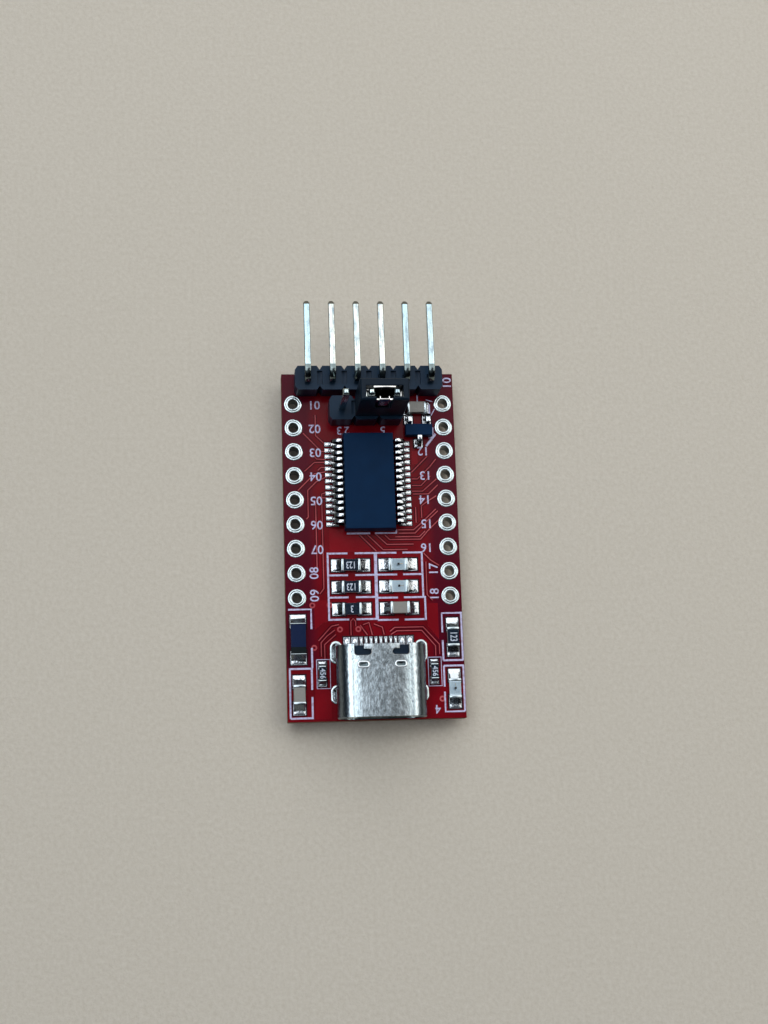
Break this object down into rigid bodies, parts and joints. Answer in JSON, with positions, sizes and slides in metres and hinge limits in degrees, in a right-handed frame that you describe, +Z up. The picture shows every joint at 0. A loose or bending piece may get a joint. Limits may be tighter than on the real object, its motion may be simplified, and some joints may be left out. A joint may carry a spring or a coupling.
{
  "type": "usb to serial adapter module",
  "caption": "Small red circuit board with a reversible usb port, a serial converter chip, a bent pin header, rows of plated holes and a slide-off voltage cap.",
  "frame": {"origin": "bottom centre of the whole part: under the middle of its outline, level with the tips of the header pins' tails", "axes": "+X across the board to the right seen from the port, +Y from the port to the bent header, +Z up from the board's component side"},
  "size_m": [0.018, 0.0426, 0.0115],
  "materials": {
    "solder_mask": "glossy deep red solder mask over glass-fibre board",
    "tinned_copper": "bright levelled tin over copper",
    "solder": "bright solder",
    "pin_metal": "bright plated brass",
    "header_plastic": "satin black nylon",
    "moulded_epoxy": "dark moulded epoxy with a fine grain",
    "tinned_lead": "matt tin plate",
    "shell_steel": "drawn steel with fine handling marks",
    "port_plastic": "black moulded plastic",
    "contact_gold": "gold flash over copper alloy",
    "terminal_tin": "tin-plated chip ends",
    "resistor_black": "glossy black overcoat",
    "capacitor_ceramic": "warm grey fired ceramic",
    "fuse_blue": "dark blue-black coating",
    "lamp_base": "white moulded base",
    "lamp_lens": "clear epoxy over a small die"
  },
  "bodies": {
    "module": {"chip_solder": "solder", "circuit_board": "solder_mask", "fuse_body": "fuse_blue", "fuse_ends": "terminal_tin", "grid_capacitor_body": "capacitor_ceramic", "grid_capacitor_ends": "terminal_tin", "grid_lamp_1_base": "lamp_base", "grid_lamp_1_ends": "terminal_tin", "grid_lamp_1_lens": "lamp_lens", "grid_lamp_2_base": "lamp_base", "grid_lamp_2_ends": "terminal_tin", "grid_lamp_2_lens": "lamp_lens", "grid_resistor_1_body": "resistor_black", "grid_resistor_1_ends": "terminal_tin", "grid_resistor_2_body": "resistor_black", "grid_resistor_2_ends": "terminal_tin", "grid_resistor_3_body": "resistor_black", "grid_resistor_3_ends": "terminal_tin", "header_hole_rings": "tinned_copper", "header_housing": "header_plastic", "header_pin_1": "pin_metal", "header_pin_2": "pin_metal", "header_pin_3": "pin_metal", "header_pin_4": "pin_metal", "header_pin_5": "pin_metal", "header_pin_6": "pin_metal", "jumper_hole_rings": "tinned_copper", "jumper_housing": "header_plastic", "jumper_pin_1": "pin_metal", "jumper_pin_2": "pin_metal", "jumper_pin_3": "pin_metal", "left_capacitor_body": "capacitor_ceramic", "left_capacitor_ends": "terminal_tin", "left_hole_rings": "tinned_copper", "left_small_resistor_body": "resistor_black", "left_small_resistor_ends": "terminal_tin", "pin_solder": "solder", "port_contacts": "contact_gold", "port_insulator": "port_plastic", "port_leg_solder": "solder", "port_shell": "shell_steel", "port_slot_rims": "tinned_copper", "right_hole_rings": "tinned_copper", "right_lamp_base": "lamp_base", "right_lamp_ends": "terminal_tin", "right_lamp_lens": "lamp_lens", "right_resistor_body": "resistor_black", "right_resistor_ends": "terminal_tin", "right_small_resistor_body": "resistor_black", "right_small_resistor_ends": "terminal_tin", "serial_chip_body": "moulded_epoxy", "serial_chip_left_leads": "tinned_lead", "serial_chip_right_leads": "tinned_lead", "small_transistor_body": "moulded_epoxy", "small_transistor_leads": "tinned_lead", "surface_pads": "tinned_copper", "upper_capacitor_body": "capacitor_ceramic", "upper_capacitor_ends": "terminal_tin"},
    "jumper": {"jumper_cap": "header_plastic", "jumper_contact": "pin_metal"}
  },
  "joints": [
    {"name": "jumper_slide", "type": "slide", "parent": "module", "child": "jumper", "axis": [0, 0, 1], "range_m": [0, 0.0065]}
  ]
}
